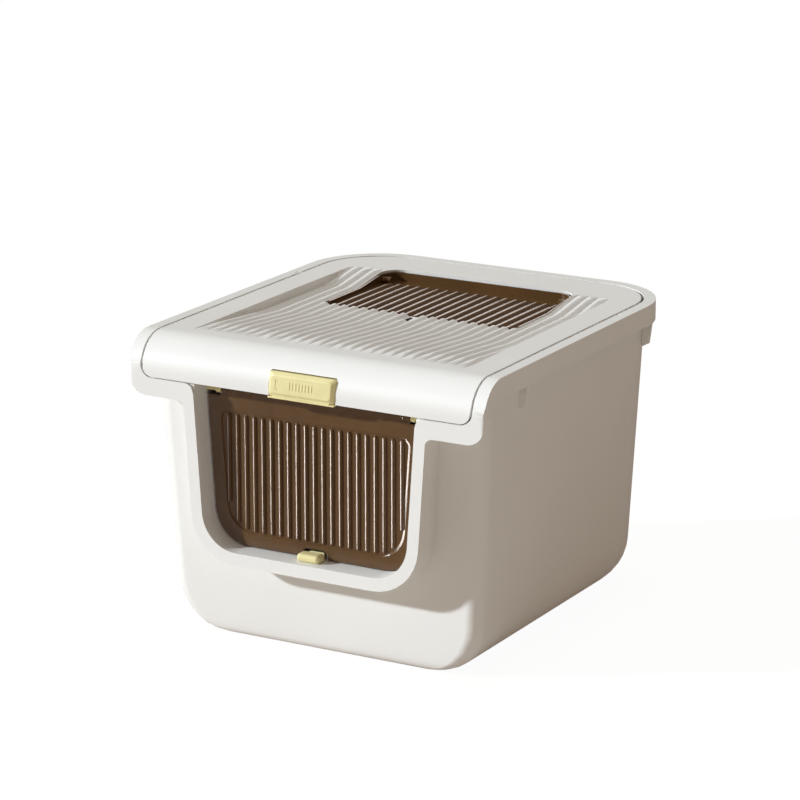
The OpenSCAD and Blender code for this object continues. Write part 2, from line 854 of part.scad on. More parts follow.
// Slide on the sill: a rounded grip before the door and a low heel behind it. Raised, the two take
// in the edge of the door's notch.
module door_lock() {
    low = sill_z + 0.3;
    color(soft_yellow) place() {
        intersection() {
            front_prism(lock_y0, lock_slot_y0) polygon(rounded(mirrored([
                [lock_x, lock_top_z, lock_round], [lock_x, low, lock_round - 1]]), 6));
            plan_prism(low, lock_top_z) polygon(plan_ring(lock_x, lock_y0, lock_slot_y0, 6, 2.5, 8, 5));
            side_prism(-lock_x, lock_x) polygon(rounded([
                [lock_y0, low, 2], [lock_y0, lock_top_z, lock_round],
                [lock_slot_y0, lock_top_z, 1.5], [lock_slot_y0, low, 0]], 6));
        }
        block([-lock_stem_x, lock_stem_y0, low], [lock_stem_x, lock_y1, lock_slot_z]);
        front_prism(lock_slot_y1, lock_y1) polygon(rounded(mirrored([
            [lock_stem_x, lock_top_z, 3], [lock_stem_x, low, 0]]), 4));
        block([-lock_stem_x, lock_stem_y0, sill_z - 11], [lock_stem_x, lock_stem_y1, sill_z + 1]);
    }
}

// Clip on the stem under the sill, which stops the slide from lifting out
module door_lock_clip() {
    color(steel_grey) place() difference() {
        block([-lock_stem_x - 5, lock_stem_y0 - 2, sill_z - 10],
            [lock_stem_x + 5, lock_stem_y1 + 2.4, sill_z - 8.6]);
        block([-lock_stem_x, lock_stem_y0, sill_z - 12], [lock_stem_x, lock_stem_y1, sill_z]);
    }
}

// ---------------------------------------------------------------- top flap

// Flap seen from above, inset by t
module flap_plan(t) {
    polygon(plan_ring(hatch_x - flap_gap - t, hatch_y0 + flap_gap + t, flap_rear_y - t, 2, hatch_r - 3 - t));
}

// Side view of the flap's raised edge: low beside the lid's ribs, rising towards the hinge
module flap_edge_side() {
    polygon([
        [hatch_y0 + 6, flap_face_z - 1],
        [hatch_y0 + 9, box_h - dish_deep + rib_h - 0.6],
        [dish_y1 - 70, box_h - dish_deep + rib_h - 0.6],
        [dish_y1 - 26, box_h - 2.4],
        [flap_rear_y + over, box_h - 2.4],
        [flap_rear_y + over, flap_face_z - 1]]);
}

module top_flap() {
    color(smoke_brown, 0.75) place() difference() {
        union() {
            plan_prism(flap_face_z - flap_plate_t, flap_face_z) flap_plan(0);
            intersection() {
                plan_prism(flap_face_z - 1, box_h) difference() {
                    flap_plan(0);
                    flap_plan(flap_wall);
                }
                side_prism(-hatch_x, hatch_x) flap_edge_side();
            }
            intersection() {
                for (k = [-9 : 8]) flap_rib((k + 0.5) * rib_pitch);
                plan_prism(flap_face_z - flap_plate_t / 2, box_h) flap_plan(0);
            }
            both_sides() x_rod(flap_boss_r, flap_boss_x, hatch_x - flap_gap, flap_hinge_y, flap_hinge_z);
        }
        both_sides() x_rod(flap_pin_r + run, flap_boss_x + 2, hatch_x, flap_hinge_y, flap_hinge_z);
    }
}

// One half-round rib with a round end
module flap_rib(x) {
    y_rod(flap_rib_r, hatch_y0, flap_rib_end, x, flap_face_z - flap_rib_sunk);
    translate([x, flap_rib_end, flap_face_z - flap_rib_sunk]) sphere(flap_rib_r);
}

module flap_pin() {
    color(steel_grey) place() x_rod(flap_pin_r, flap_boss_x + 3, hatch_x + 6, flap_hinge_y, flap_hinge_z);
}

module flap_pin_left() {
    mirror([1, 0, 0]) flap_pin();
}

module flap_pin_right() {
    flap_pin();
}

tub();
lid();
pivot_clip_left();
pivot_clip_right();
push_button();
latch_cover();
latch_spring_left();
latch_spring_right();
latch_cover_screws();
front_door();
door_pin_left();
door_pin_right();
door_lock();
door_lock_clip();
top_flap();
flap_pin_left();
flap_pin_right();
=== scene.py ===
import json
import math

import bmesh
import bpy
from bpy.props import FloatProperty, FloatVectorProperty, PointerProperty
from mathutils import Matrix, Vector


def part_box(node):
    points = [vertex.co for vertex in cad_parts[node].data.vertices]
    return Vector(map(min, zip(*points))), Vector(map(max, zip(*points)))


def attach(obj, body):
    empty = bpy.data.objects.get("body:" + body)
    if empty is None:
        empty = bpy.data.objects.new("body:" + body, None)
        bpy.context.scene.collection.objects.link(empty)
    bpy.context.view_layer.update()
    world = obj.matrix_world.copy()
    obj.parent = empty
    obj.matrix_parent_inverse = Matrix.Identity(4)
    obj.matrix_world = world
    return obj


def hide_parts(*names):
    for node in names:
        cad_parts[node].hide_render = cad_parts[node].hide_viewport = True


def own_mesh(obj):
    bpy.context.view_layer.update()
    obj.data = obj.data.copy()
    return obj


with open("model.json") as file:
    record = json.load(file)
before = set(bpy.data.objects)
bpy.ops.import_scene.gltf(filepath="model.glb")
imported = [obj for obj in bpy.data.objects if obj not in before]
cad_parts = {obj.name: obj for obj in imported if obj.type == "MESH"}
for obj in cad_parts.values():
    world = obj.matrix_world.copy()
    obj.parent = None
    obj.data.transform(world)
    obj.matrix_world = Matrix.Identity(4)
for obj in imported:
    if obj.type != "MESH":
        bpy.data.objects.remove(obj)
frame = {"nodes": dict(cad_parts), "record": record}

bl_info = {
    "name": "Top entry litter box",
    "version": (1, 0, 0),
    "blender": (4, 5, 0),
    "location": "View3D > Sidebar > Litter Box",
    "description": "Dresses the litter box: shell, smoke panels, button, catches and stage",
    "category": "Object",
}

MM = 0.001

# Front face of the rim in the part's frame; depths in this file are counted back from it
FRONT_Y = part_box("tub")[0].y

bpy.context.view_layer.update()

# Floor: half its side, and the white that the camera sees, which is mixed with the floor's own shading
FLOOR_HALF = 8.0
FLOOR_WHITE = 1.06

# Camera: its sensor in millimetres, and the nearest and farthest that it sees in metres
SENSOR_WIDTH = 36.0
NEAREST = 0.1
FARTHEST = 60.0

# Which way the key light and the light from above travel, and how wide the latter looks
SUN_TRAVEL = (1.38, 1.0, -0.655)
SKY_TRAVEL = (0.0, 0.0, -1.0)
SKY_SIZE = math.radians(20.0)
STREAK_COLOUR = (1.0, 0.95, 0.93)

# The disc that draws streaks on the flap: its share of the door's, and where it stands
FLAP_STREAKS = 0.11
FLAP_STREAK_SIZE = math.radians(32.0)
FLAP_STREAK_AZIMUTH = math.radians(147.0)
FLAP_STREAK_HEIGHT = math.radians(9.0)

# Millimetres from here on. Doorway and door, seen from the front
DOOR_DEPTH = 26.0
DOOR_THICK = 2.4
DOOR_TOP = 300.5
DOOR_LOW = 116.8
DOOR_TOP_X = 139.0
DOOR_LOW_X = 127.4
DOOR_CORNER = 42.7
HINGE_DEPTH = 30.0
HINGE_Z = 294.0
EAR_X = 120.5
EAR_LENGTH = 10.0
EAR_RADIUS = 4.6
EAR_BORE = 2.6
NOTCH_Z = 288.0
GRIP_NOTCH_X = 15.6
GRIP_NOTCH_Z = 126.2

# Sunken panel of the door and its ridges
PANEL_TOP = (120.5, 270.5, 9.0)
PANEL_LOW = (111.0, 132.5, 34.0)
PANEL_SUNK = 1.2
PANEL_THICK = 1.8
RIDGES = 21
RIDGE_PITCH = 11.05
RIDGE_RADIUS = 2.65
RIDGE_SUNK = 0.25
RIDGE_GAP = 1.5
RIDGE_SIDES = 32
RIDGE_BURIED = 0.2
OUT_OF_REACH = 1000.0

# Push button
BUTTON_WIDE = 84.0
BUTTON_HIGH = 27.6
BUTTON_LOW = 305.2
BUTTON_BEVEL = 3.8
BUTTON_PROUD = 5.0
BUTTON_TILT = math.radians(7.5)
BUTTON_BACK = 5.0
BRACKET_X = -33.0
BRACKET_HALF = 5.9
GRIP_HALF = 4.2
FOOT_LOW = 302.9
FOOT_HIGH = 304.6
FOOT_DEPTH = 3.0
STEM_LOW = 310.0
STEM_HIGH = 330.0
PLATE_LOW = 309.3
PLATE_HIGH = 332.8
PLATE_DEPTH = 10.5
PLATE_THICK = 2.0
HOOK_X = 9.0
HOOK_LOW = 302.4
HOOK_HIGH = 312.6
HOOK_DEPTH = 22.5
HOOK_TIP = 17.9
PEG_RADIUS = 2.3
PEG_LENGTH = 4.0
COVER_DEPTH = 24.5
SPRING_X = 30.0
SPRING_Z = 322.0
SPRING_RADIUS = 3.6
SPRING_TURNS = 5
SPRING_PLAY = 0.05
WIRE = 0.45

# Sill lock
LOCK_X = 14.0
LOCK_LOW = 115.8
LOCK_TOP = 125.0
LOCK_FRONT = 8.5
LOCK_BACK = 34.0
SLOT_FRONT = 24.9
SLOT_BACK = 29.5
SLOT_Z = 118.5
HEEL_DROP = 2.0
LOCK_STEM_X = 10.0
LOCK_STEM_LOW = 104.5
LOCK_STEM_FRONT = 16.0
LOCK_STEM_BACK = 32.0


# ---------------------------------------------------------------- shader maths


class Wire:
    """A shader socket that can be used in sums."""

    def __init__(self, tree, socket):
        self.tree = tree
        self.socket = socket

    def _math(self, operation, *values):
        return self.tree.node("ShaderNodeMath", {"operation": operation}, dict(enumerate(values)))

    def __add__(self, other):
        return self._math("ADD", self, other)

    __radd__ = __add__

    def __sub__(self, other):
        return self._math("SUBTRACT", self, other)

    def __rsub__(self, other):
        return self._math("SUBTRACT", other, self)

    def __mul__(self, other):
        return self._math("MULTIPLY", self, other)

    __rmul__ = __mul__


class Finish:
    """One material's node tree, with a Principled surface."""

    def __init__(self, name):
        self.material = bpy.data.materials.new(name)
        self.material.use_nodes = True
        self.nodes = self.material.node_tree.nodes
        self.links = self.material.node_tree.links
        self.nodes.clear()
        self.out = self.nodes.new("ShaderNodeOutputMaterial")
        self.surface = self.nodes.new("ShaderNodeBsdfPrincipled")
        self.links.new(self.surface.outputs[0], self.out.inputs["Surface"])

    def node(self, kind, settings=None, values=None, output=0):
        made = self.nodes.new(kind)
        for key, value in (settings or {}).items():
            setattr(made, key, value)
        for key, value in (values or {}).items():
            self.feed(made.inputs[key], value)
        return Wire(self, made.outputs[output])

    def feed(self, socket, value):
        if isinstance(value, Wire):
            self.links.new(value.socket, socket)
        else:
            socket.default_value = value

    def set(self, **values):
        for key, value in values.items():
            self.feed(self.surface.inputs[key.replace("_", " ").title()], value)

    def place(self, scale=(1, 1, 1)):
        """Object coordinates, stretched"""
        here = self.node("ShaderNodeTexCoord", output="Object")
        return self.node("ShaderNodeMapping", values={"Vector": here, "Scale": scale})

    def noise(self, scale, detail=2.0, roughness=0.5, stretch=(1, 1, 1)):
        values = {"Vector": self.place(stretch), "Scale": scale, "Detail": detail, "Roughness": roughness}
        return self.node("ShaderNodeTexNoise", values=values, output="Fac")

    def spread(self, value, low, high, start=0.3, end=0.7):
        """Maps a noise value between start and end onto low to high"""
        values = {"Value": value, "From Min": start, "From Max": end, "To Min": low, "To Max": high}
        return self.node("ShaderNodeMapRange", values=values)

    def tint(self, colour, pattern, low, high):
        """A colour that drifts between two shades of itself; 6, 7 and 2 are Mix's colour sockets"""
        share = self.spread(pattern, 0.0, 1.0)
        values = {0: share, 6: (*shade(colour, low), 1), 7: (*shade(colour, high), 1)}
        return self.node("ShaderNodeMix", {"data_type": "RGBA"}, values, output=2)

    def bump(self, height, distance, strength=1.0):
        values = {"Height": height, "Distance": distance, "Strength": strength}
        return self.node("ShaderNodeBump", values=values)


def shade(colour, factor):
    return tuple(channel * factor for channel in colour)


def shell_plastic(settings):
    """Warm white moulded plastic with the fine grain of a spark-eroded mould"""
    finish = Finish("shell_plastic")
    colour = tuple(settings.shell_colour)
    drift = finish.noise(9.0, 3.0)
    grain = finish.noise(1500.0, 2.0, 0.6)
    cloud = finish.noise(60.0, 3.0, 0.6)
    finish.set(base_color=finish.tint(colour, drift, 0.985, 1.012))
    finish.set(roughness=finish.spread(cloud, 0.40, 0.47) + (grain - 0.5) * 0.05)
    finish.set(normal=finish.bump(grain + cloud * 0.6, 0.00006, 0.35))
    finish.surface.inputs["IOR"].default_value = 1.46
    return finish.material


def smoke_plastic(settings):
    """Brown tinted clear plastic, polished, with faint flow lines"""
    finish = Finish("smoke_plastic")
    colour = tuple(settings.smoke_colour)
    flow = finish.noise(26.0, 3.0, 0.6, (1, 1, 0.25))
    haze = finish.noise(240.0, 2.0, 0.6)
    finish.set(base_color=finish.tint(colour, flow, 0.88, 1.15))
    finish.set(roughness=finish.spread(haze, 0.13, 0.20), alpha=finish.spread(flow, 0.96, 0.91))
    finish.set(normal=finish.bump(haze + flow * 2.0, 0.00005, 0.025))
    finish.surface.inputs["IOR"].default_value = 1.5
    return finish.material


def accent_plastic(settings):
    """Pale yellow moulded plastic"""
    finish = Finish("accent_plastic")
    colour = tuple(settings.accent_colour)
    cloud = finish.noise(90.0, 3.0, 0.6)
    grain = finish.noise(1700.0, 2.0, 0.6)
    finish.set(base_color=finish.tint(colour, cloud, 0.96, 1.03))
    finish.set(roughness=finish.spread(cloud, 0.34, 0.42))
    finish.set(normal=finish.bump(grain + cloud, 0.00005, 0.3))
    return finish.material


def spring_steel(settings):
    """Zinc-plated steel of the springs, screws and hidden pins"""
    finish = Finish("spring_steel")
    colour = tuple(settings.steel_colour)
    drawn = finish.noise(700.0, 3.0, 0.7, (1, 0.1, 1))
    spots = finish.noise(120.0, 2.0, 0.5)
    finish.set(base_color=finish.tint(colour, spots, 0.85, 1.1))
    finish.set(roughness=finish.spread(drawn, 0.24, 0.42))
    finish.set(normal=finish.bump(drawn, 0.00003, 0.3))
    finish.surface.inputs["Metallic"].default_value = 1.0
    return finish.material


FINISHES = {
    "shell": shell_plastic,
    "smoke": smoke_plastic,
    "accent": accent_plastic,
    "steel": spring_steel,
}


def finish_for(slot):
    """The material of one slot of the record, made once"""
    made = bpy.data.materials.get(f"litter_box_{slot}")
    if made is None:
        made = FINISHES[slot](bpy.context.scene.litter_box_finish)
        made.name = f"litter_box_{slot}"
    return made


# ---------------------------------------------------------------- meshes


def merged_copy(node, name):
    """A copy of a CAD node whose loose triangles are welded"""
    work = bmesh.new()
    work.from_mesh(frame["nodes"][node].data)
    bmesh.ops.remove_doubles(work, verts=work.verts, dist=2e-6)
    bmesh.ops.dissolve_degenerate(work, edges=work.edges, dist=2e-6)
    points = [tuple(vertex.co) for vertex in work.verts]
    work.verts.index_update()
    faces = [[vertex.index for vertex in face.verts] for face in work.faces]
    work.free()
    mesh = bpy.data.meshes.new(name)
    mesh.from_pydata(points, [], faces)
    mesh.validate()
    return mesh


def add_object(mesh, name):
    made = bpy.data.objects.new(name, mesh)
    bpy.context.scene.collection.objects.link(made)
    return made


def made_plain(thing):
    """Turns an object's modifiers into its mesh"""
    bpy.context.view_layer.update()
    mesh = bpy.data.meshes.new_from_object(thing.evaluated_get(bpy.context.evaluated_depsgraph_get()))
    old = thing.data
    thing.modifiers.clear()
    thing.data = mesh
    mesh.name = old.name
    return thing


def soften(thing, width, angle=35.0, segments=2):
    """Rounds the edges that are sharper than angle, and shades what is flatter as one surface"""
    if width:
        bevel = thing.modifiers.new("edges", "BEVEL")
        bevel.width = width
        bevel.segments = segments
        bevel.limit_method = "ANGLE"
        bevel.angle_limit = math.radians(angle)
        bevel.use_clamp_overlap = True
        bevel.miter_outer = "MITER_ARC"
        made_plain(thing)
    smooth(thing.data, angle)
    weigh = thing.modifiers.new("flats", "WEIGHTED_NORMAL")
    weigh.mode = "FACE_AREA"
    weigh.weight = 80
    weigh.keep_sharp = True
    return made_plain(thing)


def smooth(mesh, angle=35.0):
    mesh.polygons.foreach_set("use_smooth", [True] * len(mesh.polygons))
    mesh.set_sharp_from_angle(angle=math.radians(angle))


def dress(thing, body, slot, *nodes):
    """Gives a finished piece its material and its body, and hides the CAD nodes that it stands for"""
    thing.data.materials.clear()
    thing.data.materials.append(finish_for(slot))
    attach(thing, body)
    if nodes:
        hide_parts(*nodes)
    return thing


def body_of_node(node):
    for body, nodes in frame["record"]["behaviour"]["bodies"].items():
        if node in nodes:
            return body
    raise RuntimeError(f"no body holds {node}")


def slot_of_node(node):
    for part in frame["record"]["subparts"]:
        if part["node"] == node:
            return part["material_slot"]
    raise RuntimeError(f"no slot for {node}")


def refined(node, name, width=0.0, angle=35.0):
    """A CAD node shown as one smooth skin"""
    thing = add_object(merged_copy(node, name), name)
    soften(thing, width, angle)
    return dress(thing, body_of_node(node), slot_of_node(node), node)


# ---------------------------------------------------------------- outlines, in millimetres


def seen_from_front(u, v, depth):
    """x, height and depth behind the front face, as a point of the part's frame"""
    return Vector((u * MM, FRONT_Y + depth * MM, v * MM))


def corner(before, point, after, radius, steps):
    """Points of one rounded corner, between its two neighbours"""
    point = Vector(point)
    first, second = (Vector(before) - point).normalized(), (Vector(after) - point).normalized()
    half = first.angle(second) / 2
    centre = point + (first + second).normalized() * radius / math.sin(half)
    start, end = (point + side * radius / math.tan(half) - centre for side in (first, second))
    angle = math.atan2(start.y, start.x)
    turn = math.atan2(start.cross(end), start.dot(end))
    return [
        (centre.x + radius * math.cos(angle + turn * step / steps),
         centre.y + radius * math.sin(angle + turn * step / steps))
        for step in range(steps + 1)]


def outline(points, steps=10):
    """Closed outline from corners given as x, y and radius"""
    made = []
    for index, (x, y, radius) in enumerate(points):
        before, after = points[index - 1], points[(index + 1) % len(points)]
        made += corner(before[:2], (x, y), after[:2], radius, steps) if radius else [(x, y)]
    return made


def mirrored(half):
    return half + [(-x, y, radius) for x, y, radius in reversed(half)]


# ---------------------------------------------------------------- solids, in millimetres


def slab(loops, low, high, edge, seat):
    """Flat plate between two levels, with rounded edges; the loops after the first are holes"""
    curve = bpy.data.curves.new("slab", "CURVE")
    curve.dimensions = "2D"
    curve.fill_mode = "BOTH"
    curve.extrude = (high - low) / 2 - edge
    curve.bevel_depth = edge
    curve.bevel_resolution = 2
    curve.offset = -edge
    for loop in loops:
        spline = curve.splines.new("POLY")
        spline.points.add(len(loop) - 1)
        for point, (u, v) in zip(spline.points, loop):
            point.co = (u, v, 0, 1)
        spline.use_cyclic_u = True
    holder = add_object(curve, "slab")
    bpy.context.view_layer.update()
    mesh = bpy.data.meshes.new_from_object(holder.evaluated_get(bpy.context.evaluated_depsgraph_get()))
    bpy.data.objects.remove(holder)
    bpy.data.curves.remove(curve)
    middle = (low + high) / 2
    for vertex in mesh.vertices:
        u, v, w = vertex.co
        vertex.co = seat(u, v, w + middle)
    return mesh


def skin(rings, closed=False, caps=True):
    """Surface over a stack of rings that have the same number of points"""
    count = len(rings[0])
    points = [point for loop in rings for point in loop]
    faces = []
    levels = len(rings)
    for level in range(levels if closed else levels - 1):
        upper = (level + 1) % levels
        for index in range(count):
            after = (index + 1) % count
            below, above = level * count, upper * count
            faces.append((below + index, below + after, above + after, above + index))
    if caps and not closed:
        faces.append(tuple(reversed(range(count))))
        faces.append(tuple((levels - 1) * count + index for index in range(count)))
    mesh = bpy.data.meshes.new("skin")
    mesh.from_pydata(points, [], faces)
    return mesh


def across(depth, height):
    """Places a turned solid round an axis along x"""
    return lambda along, u, v: seen_from_front(along, height + v, depth + u)


def inwards(x, height):
    """Places a turned solid round an axis along the depth"""
    return lambda along, u, v: seen_from_front(x + u, height + v, along)


def turned(profile, place, steps=40):
    """Solid of revolution: a closed profile of places along the axis and radii"""
    angles = [2 * math.pi * step / steps for step in range(steps)]
    rings = [
        [place(along, radius * math.cos(angle), radius * math.sin(angle)) for along, radius in profile]
        for angle in angles]
    return skin(rings, closed=True)


def rod(start, end, radius, place, edge=0.3):
    """Plain round rod with a small chamfer at both ends"""
    profile = [(start, 0.01), (start, radius - edge), (start + edge, radius),
               (end - edge, radius), (end, radius - edge), (end, 0.01)]
    return turned(profile, place, 24)


def bar(low, high, edge, seat=seen_from_front, segments=3):
    """Block with rounded edges between two corners"""
    work = bmesh.new()
    bmesh.ops.create_cube(work, size=1.0)
    for vertex in work.verts:
        vertex.co = [a + (b - a) * (share + 0.5) for a, b, share in zip(low, high, vertex.co)]
    bmesh.ops.bevel(work, geom=work.edges[:], offset=edge, segments=segments, profile=0.5, affect="EDGES")
    for vertex in work.verts:
        vertex.co = seat(*vertex.co)
    mesh = bpy.data.meshes.new("bar")
    work.to_mesh(mesh)
    work.free()
    return mesh


def joined(name, meshes, width=0.0, angle=35.0):
    """One object from several meshes, shaded smooth up to an angle"""
    work = bmesh.new()
    for mesh in meshes:
        work.from_mesh(mesh)
    bmesh.ops.recalc_face_normals(work, faces=work.faces)
    whole = bpy.data.meshes.new(name)
    work.to_mesh(whole)
    work.free()
    for mesh in meshes:
        bpy.data.meshes.remove(mesh)
    whole.materials.clear()
    return soften(add_object(whole, name), width, angle)


# ---------------------------------------------------------------- geometry node trees


class Growth:
    """A geometry node tree with named inputs, used through a modifier and then made a plain mesh"""

    def __init__(self, name, **inputs):
        self.tree = bpy.data.node_groups.new(name, "GeometryNodeTree")
        sockets = self.tree.interface
        sockets.new_socket("Geometry", in_out="OUTPUT", socket_type="NodeSocketGeometry")
        self.keys = {}
        for label, kind in {"Guide": "Geometry", **inputs, "Material": "Material"}.items():
            made = sockets.new_socket(label, in_out="INPUT", socket_type=f"NodeSocket{kind}")
            self.keys[label] = made.identifier
        self.inputs = self.tree.nodes.new("NodeGroupInput").outputs
        self.result = self.tree.nodes.new("NodeGroupOutput").inputs["Geometry"]

    def node(self, kind, settings=None, values=None, output=0):
        """Adds a node, feeds its inputs with sockets or constants and returns one output"""
        made = self.tree.nodes.new(kind)
        for key, value in (settings or {}).items():
            setattr(made, key, value)
        for key, value in (values or {}).items():
            if isinstance(value, bpy.types.NodeSocket):
                self.tree.links.new(value, made.inputs[key])
            else:
                made.inputs[key].default_value = value
        return made.outputs[output]

    def end(self, geometry):
        real = self.node("GeometryNodeRealizeInstances", values={"Geometry": geometry})
        dressed = self.node("GeometryNodeSetMaterial", values={
            "Geometry": real, "Material": self.inputs["Material"]})
        self.tree.links.new(dressed, self.result)
        return self

    def grow(self, guide, name, slot, **values):
        """The tree's mesh over a guide mesh, as plain mesh data"""
        thing = add_object(guide, name)
        modifier = thing.modifiers.new(name, "NODES")
        modifier.node_group = self.tree
        for label, value in {**values, "Material": finish_for(slot)}.items():
            modifier[self.keys[label]] = value
        made_plain(thing)
        mesh = thing.data
        bpy.data.objects.remove(thing)
        bpy.data.meshes.remove(guide)
        return mesh


def swept_bars():
    """Round bars along the guide's edges, as thick as its girth attribute, cut flat at a far corner"""
    grown = Growth("swept_bars", Sides="Int", Farthest="Vector")
    path = grown.node("GeometryNodeMeshToCurve", values={"Mesh": grown.inputs["Guide"]})
    girth = grown.node("GeometryNodeInputNamedAttribute", {"data_type": "FLOAT"}, {"Name": "girth"})
    circle = grown.node("GeometryNodeCurvePrimitiveCircle", values={
        "Resolution": grown.inputs["Sides"], "Radius": 1.0})
    bars = grown.node("GeometryNodeCurveToMesh", values={
        "Curve": path, "Profile Curve": circle, "Scale": girth, "Fill Caps": True})
    here = grown.node("GeometryNodeInputPosition")
    held = grown.node("ShaderNodeVectorMath", {"operation": "MINIMUM"}, {
        0: here, 1: grown.inputs["Farthest"]})
    return grown.end(grown.node("GeometryNodeSetPosition", values={"Geometry": bars, "Position": held}))


def repeated():
    """One object set on every point of the guide"""
    grown = Growth("repeated", Piece="Object")
    info = grown.node("GeometryNodeObjectInfo", values={"Object": grown.inputs["Piece"]}, output="Geometry")
    points = grown.node("GeometryNodeMeshToPoints", values={"Mesh": grown.inputs["Guide"]})
    return grown.end(grown.node("GeometryNodeInstanceOnPoints", values={"Points": points, "Instance": info}))


def coils():
    """A coil of round wire that starts at every point of the guide and runs towards +y"""
    grown = Growth("coils", Turns="Float", Radius="Float", Length="Float", Wire="Float")
    spiral = grown.node("GeometryNodeCurveSpiral", values={
        "Resolution": 32, "Rotations": grown.inputs["Turns"], "Start Radius": grown.inputs["Radius"],
        "End Radius": grown.inputs["Radius"], "Height": grown.inputs["Length"]})
    wire = grown.node("GeometryNodeCurvePrimitiveCircle", values={
        "Resolution": 10, "Radius": grown.inputs["Wire"]})
    coil = grown.node("GeometryNodeCurveToMesh", values={
        "Curve": spiral, "Profile Curve": wire, "Fill Caps": True})
    coil = grown.node("GeometryNodeTransform", values={"Geometry": coil, "Rotation": (-math.pi / 2, 0, 0)})
    points = grown.node("GeometryNodeMeshToPoints", values={"Mesh": grown.inputs["Guide"]})
    return grown.end(grown.node("GeometryNodeInstanceOnPoints", values={"Points": points, "Instance": coil}))


def point_guide(points):
    mesh = bpy.data.meshes.new("guide")
    mesh.from_pydata(points, [], [])
    return mesh


def bar_guide(bars, girth):
    """Guide for straight bars from start to end in millimetres, with half-ball ends"""
    turns = [math.radians(15.0 * step) for step in range(7)]
    near_end = [(girth * (1 - math.cos(turn)), girth * math.sin(turn)) for turn in turns]
    points, edges, sizes = [], [], []
    for start, end in bars:
        start, end = Vector(start), Vector(end)
        along, length = (end - start).normalized(), (end - start).length
        far_end = [(length - place, size) for place, size in reversed(near_end)]
        for index, (place, size) in enumerate(near_end + far_end):
            if index:
                edges.append((len(points) - 1, len(points)))
            points.append(start + along * place)
            sizes.append(max(size, 0.02 * girth))
    mesh = bpy.data.meshes.new("guide")
    mesh.from_pydata([seen_from_front(x, z, y) for x, y, z in points], edges, [])
    mesh.attributes.new("girth", "FLOAT", "POINT").data.foreach_set("value", [size * MM for size in sizes])
    return mesh


# ---------------------------------------------------------------- settings


class LitterBoxFinish(bpy.types.PropertyGroup):
    """Colours of the plastics"""

    shell_colour: FloatVectorProperty(
        name="Shell", description="Colour of the tub and lid", subtype="COLOR", size=3,
        min=0.0, max=1.0, default=(0.86, 0.845, 0.815))
    smoke_colour: FloatVectorProperty(
        name="Smoke", description="Colour of the door and flap", subtype="COLOR", size=3,
        min=0.0, max=1.0, default=(0.108, 0.054, 0.019))
    accent_colour: FloatVectorProperty(
        name="Accent", description="Colour of the button, pins and lock", subtype="COLOR", size=3,
        min=0.0, max=1.0, default=(0.83, 0.74, 0.38))
    steel_colour: FloatVectorProperty(
        name="Steel", description="Colour of springs, screws and pins", subtype="COLOR", size=3,
        min=0.0, max=1.0, default=(0.56, 0.57, 0.58))


class LitterBoxStage(bpy.types.PropertyGroup):
    """Camera, lamp and surroundings"""

    lens: FloatProperty(name="Lens", description="Focal length of the camera in mm", default=155.45, min=20.0)
    camera_place: FloatVectorProperty(
        name="Camera", description="Where the camera stands", subtype="XYZ", unit="LENGTH", size=3,
        default=(1.8729, -3.3460, 1.3119))
    camera_aim: FloatVectorProperty(
        name="Aim", description="The point at which the camera looks", subtype="XYZ", unit="LENGTH", size=3,
        default=(-0.00397, -0.0190, 0.2501))
    sun_strength: FloatProperty(name="Sun", description="Strength of the key light", default=3.6, min=0.0)
    sun_colour: FloatVectorProperty(
        name="Sun colour", description="Colour of the key light", subtype="COLOR", size=3,
        min=0.0, max=1.0, default=(0.853, 0.934, 1.0))
    sun_angle: FloatProperty(
        name="Sun size", description="How wide the key light looks, which softens its shadows",
        subtype="ANGLE", default=math.radians(3.0))
    fill_colour: FloatVectorProperty(
        name="Fill", description="Colour and level of the light from all round", subtype="COLOR", size=3,
        min=0.0, max=1.0, default=(0.264, 0.202, 0.159))
    floor_colour: FloatVectorProperty(
        name="Floor", description="Colour of the floor", subtype="COLOR", size=3,
        min=0.0, max=1.0, default=(0.72, 0.66, 0.60))
    floor_shadow: FloatProperty(
        name="Floor shadow", description="Share of the floor's own shading that the camera sees",
        subtype="FACTOR", default=0.10, min=0.0, max=1.0)
    streak_level: FloatProperty(
        name="Streaks", description="Brightness of the far disc that only the door's gloss shows, as streaks",
        default=22.0, min=0.0)
    streak_size: FloatProperty(
        name="Streak size", description="How wide that disc looks, which widens the streaks on the ridges",
        subtype="ANGLE", default=math.radians(56.0))
    streak_azimuth: FloatProperty(
        name="Streak direction", description="How far left of the front that disc stands",
        subtype="ANGLE", default=math.radians(74.0))
    streak_height: FloatProperty(
        name="Streak height", description="Elevation of that disc, as low as the door mirrors it",
        subtype="ANGLE", default=math.radians(-17.3))
    sky_strength: FloatProperty(
        name="Sky", description="Strength of the soft light from straight above", default=0.80, min=0.0)
    sky_colour: FloatVectorProperty(
        name="Sky colour", description="Colour of the light from above", subtype="COLOR", size=3,
        min=0.0, max=1.0, default=(0.82, 0.97, 1.0))


# ---------------------------------------------------------------- pieces


class LITTERBOX_OT_shell(bpy.types.Operator):
    """Tub and lid, with the small white mouldings on them"""

    bl_idname = "litterbox.shell"
    bl_label = "Shell"

    def execute(self, context):
        refined("tub", "tub_shell")
        refined("lid", "lid_shell")
        refined("pivot_clip_left", "hinge_cap_left")
        refined("pivot_clip_right", "hinge_cap_right")
        refined("latch_cover", "latch_plate")
        return {"FINISHED"}


